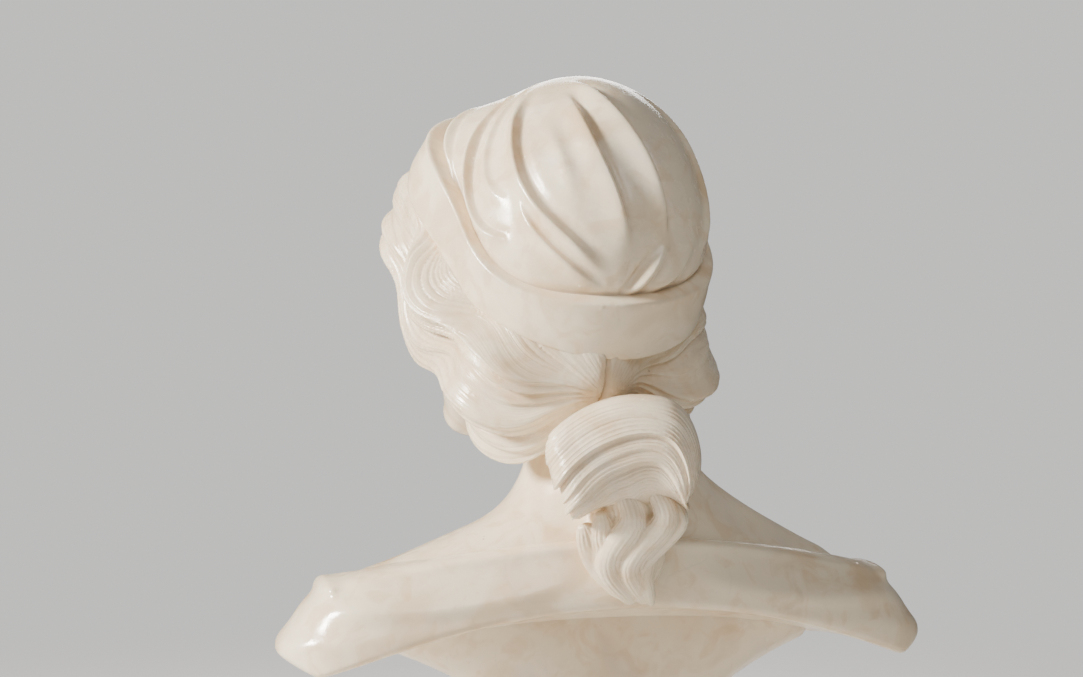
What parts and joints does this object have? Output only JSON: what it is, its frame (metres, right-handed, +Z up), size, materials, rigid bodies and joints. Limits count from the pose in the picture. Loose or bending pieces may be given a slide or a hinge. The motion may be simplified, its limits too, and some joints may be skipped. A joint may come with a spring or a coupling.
{
  "type": "marble bust",
  "caption": "Marble bust in a head cloth with hair knotted at the nape, on a turned socle and square plinth; it turns on its centre rod.",
  "frame": {"origin": "centre of the felt's underside, on the axis of the centre rod", "axes": "+Z up along the rod; the bust faces -Y at rest; +X is the bust's own left"},
  "size_m": [0.344, 0.2001, 0.4998],
  "materials": {
    "statuary_marble": "polished statuary marble, warm white",
    "socle_marble": "polished marble, warm white",
    "plinth_marble": "polished marble, warm white",
    "brass": "turned, dull",
    "steel": "plain zinc-plated",
    "resin": "cast, matt",
    "felt": "baize"
  },
  "bodies": {
    "base": {"felt_base": "felt", "plinth": "plinth_marble", "plinth_dowels": "steel", "socle": "socle_marble", "bearing_disc": "brass"},
    "bust": {"bust_carving": "statuary_marble", "centre_rod": "steel", "rod_bedding": "resin", "clamp_washer": "steel", "clamp_nut": "steel", "lock_nut": "steel"}
  },
  "joints": [
    {"name": "bust_turn", "type": "hinge", "parent": "base", "child": "bust", "pos_m": [0, 0, 0.124], "axis": [0, 0, 1], "continuous": true}
  ]
}
